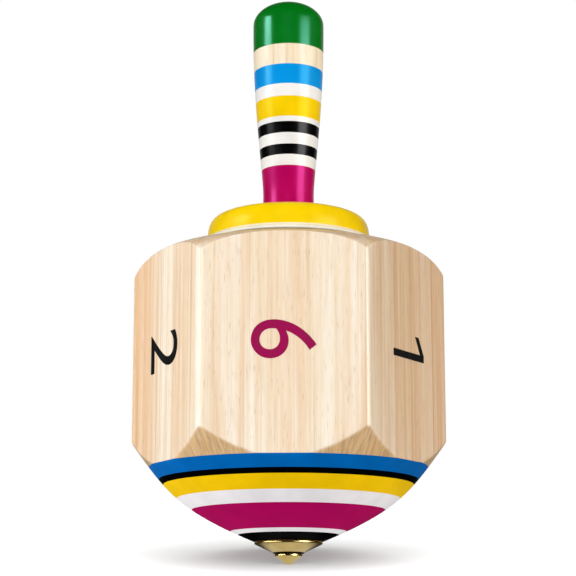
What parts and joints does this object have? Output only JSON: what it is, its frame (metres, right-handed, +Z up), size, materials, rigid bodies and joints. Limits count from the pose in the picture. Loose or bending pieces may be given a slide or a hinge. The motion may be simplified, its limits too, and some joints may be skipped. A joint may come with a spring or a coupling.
{
  "type": "teetotum spinning top",
  "caption": "Hexagonal wooden teetotum with a domed underside, brass point, domed collar and tapered striped handle; twirled by the handle, it spins and settles on a flat.",
  "frame": {"origin": "the end of the point, where the top touches the table", "axes": "+Z up along the spin axis; one flat faces -Y"},
  "size_m": [0.0536, 0.0468, 0.0993],
  "materials": {
    "bare_wood": "pale open-pored wood, smooth sanded, thin clear satin; painted bands on the dome",
    "yellow_paint": "wood with glossy yellow paint and a white foot",
    "striped_paint": "wood with glossy green, blue, yellow, black, white and magenta bands",
    "brass": "turned and polished"
  },
  "bodies": {
    "point": {"tip_point": "brass"},
    "top": {"body_block": "bare_wood", "collar": "yellow_paint", "handle": "striped_paint", "tip_ferrule": "brass"}
  },
  "joints": [
    {"name": "spin", "type": "hinge", "parent": "point", "child": "top", "pos_m": [0, 0, 0], "axis": [0, 0, 1], "continuous": true}
  ]
}
